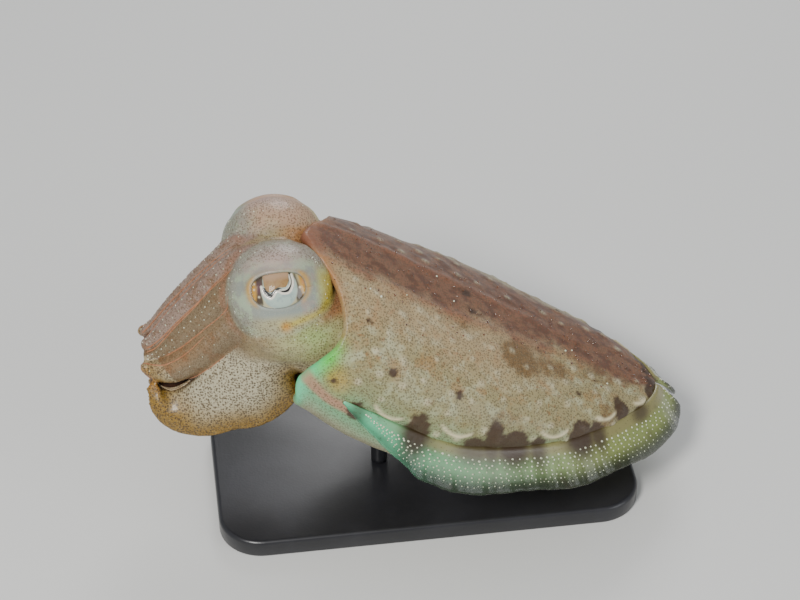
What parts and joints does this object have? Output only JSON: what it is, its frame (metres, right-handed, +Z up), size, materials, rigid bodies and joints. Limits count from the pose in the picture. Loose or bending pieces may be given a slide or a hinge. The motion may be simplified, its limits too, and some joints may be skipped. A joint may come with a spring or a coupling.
{
  "type": "cuttlefish",
  "caption": "Young common cuttlefish hovering head-up with its arms drooped and narrow side fins, held by a plain display stand.",
  "frame": {"origin": "on the floor under the stand, at the middle of the whole model's box", "axes": "+X from the arms' tips to the tail, +Y to the animal's right, +Z up"},
  "size_m": [0.0994, 0.0612, 0.0602],
  "materials": {
    "mantle_skin": "moist mottled skin, brown on the back and pale below, with fine dark dots",
    "head_skin": "moist mottled skin, grey-blue over the eyes and yellow-green on the cheeks",
    "arm_skin": "moist brown skin with orange edges and small white spots",
    "fin_skin": "thin translucent skin with rows of white spots",
    "funnel_skin": "smooth pale moist skin",
    "eye": "glossy wet eye with a black W-shaped pupil",
    "stand": "polished black acrylic"
  },
  "bodies": {
    "root": {"mantle": "mantle_skin", "head": "head_skin", "fin_left": "fin_skin", "fin_right": "fin_skin", "eye_left": "eye", "eye_right": "eye", "funnel": "funnel_skin", "arm_1_left": "arm_skin", "arm_1_right": "arm_skin", "arm_2_left": "arm_skin", "arm_2_right": "arm_skin", "arm_3_left": "arm_skin", "arm_3_right": "arm_skin", "arm_4_left": "arm_skin", "arm_4_right": "arm_skin", "stand_base": "stand", "stand_rod_front": "stand", "stand_rod_rear": "stand"}
  },
  "joints": []
}
